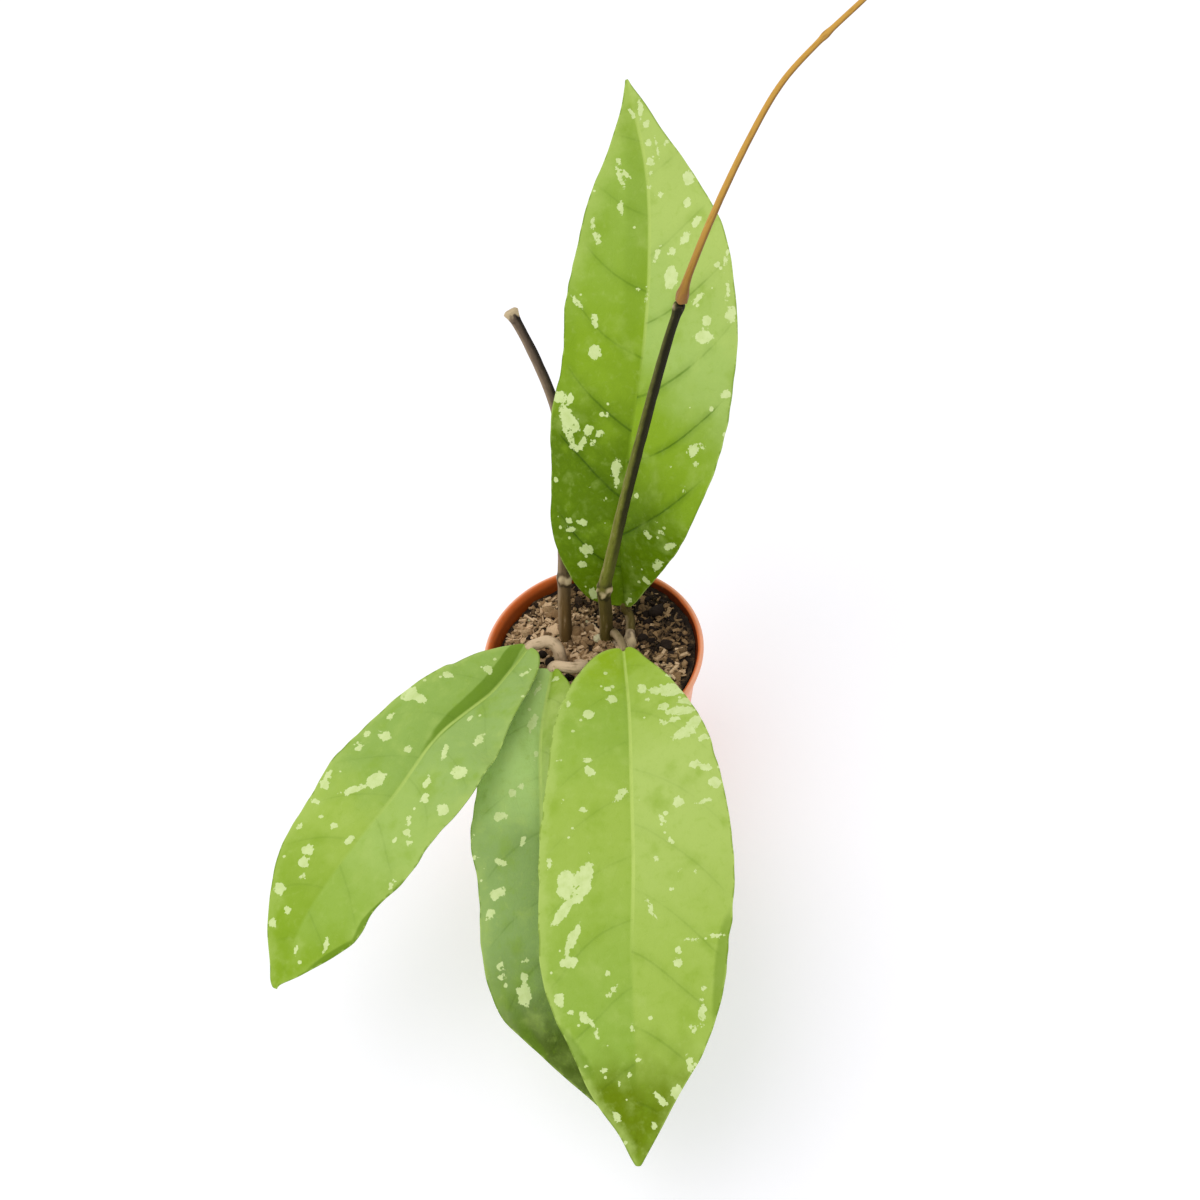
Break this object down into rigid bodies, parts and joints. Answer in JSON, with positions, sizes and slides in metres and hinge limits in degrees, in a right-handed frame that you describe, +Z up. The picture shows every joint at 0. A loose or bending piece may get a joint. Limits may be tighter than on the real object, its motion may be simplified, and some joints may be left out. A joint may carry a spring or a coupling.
{
  "type": "potted hoya plant with long leaves",
  "caption": "Climbing hoya plant with long speckled leaves on two woody stems and a young vine, growing in a small round nursery pot of bark soil.",
  "frame": {"origin": "centre of the pot's underside, on the surface that the pot stands on", "axes": "+Z up, -Y towards the viewer of the picture, +X to that viewer's right"},
  "size_m": [0.2781, 0.3471, 0.3554],
  "materials": {
    "pot_plastic": "satin",
    "soil_mix": "matte",
    "stem_bark": "matte",
    "vine_skin": "satin",
    "leaf_green": "satin",
    "leaf_shade_green": "satin"
  },
  "bodies": {
    "root": {"pot": "pot_plastic", "soil": "soil_mix", "stem_right": "stem_bark", "stem_left": "stem_bark", "young_vine": "vine_skin", "leaf_rear": "leaf_green", "leaf_front": "leaf_green", "leaf_left": "leaf_green", "leaf_middle": "leaf_shade_green"}
  },
  "joints": []
}
